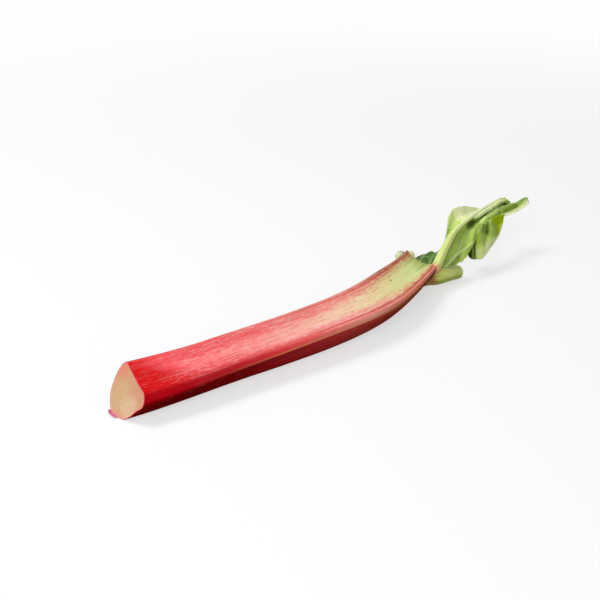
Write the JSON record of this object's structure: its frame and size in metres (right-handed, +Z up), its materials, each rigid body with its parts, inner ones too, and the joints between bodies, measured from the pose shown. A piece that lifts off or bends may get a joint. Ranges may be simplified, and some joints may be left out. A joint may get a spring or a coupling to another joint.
{
  "type": "rhubarb stalk",
  "caption": "Cut rhubarb stalk lying on its ribbed back, red at the base and yellow-green at the neck, with trimmed leaf ribs and scraps of blade.",
  "frame": {"origin": "under the middle of the whole object's bounding box, on the surface it rests on", "axes": "+X along the stalk from its cut base towards its leaf, +Z up, out of the channelled side"},
  "size_m": [0.3832, 0.1004, 0.0482],
  "materials": {
    "stalk_skin": "smooth waxy skin, fine lengthwise streaks, crimson to pink to yellow-green",
    "leaf_rib": "smooth waxy pale yellow-green",
    "leaf_blade": "matte green leaf with pale veins"
  },
  "bodies": {
    "root": {"stalk": "stalk_skin", "right_outer_rib": "leaf_rib", "right_inner_rib": "leaf_rib", "middle_rib": "leaf_rib", "left_inner_rib": "leaf_rib", "left_outer_rib": "leaf_rib", "right_blade": "leaf_blade", "lobe_blade": "leaf_blade", "middle_blade": "leaf_blade", "left_blade": "leaf_blade"}
  },
  "joints": []
}
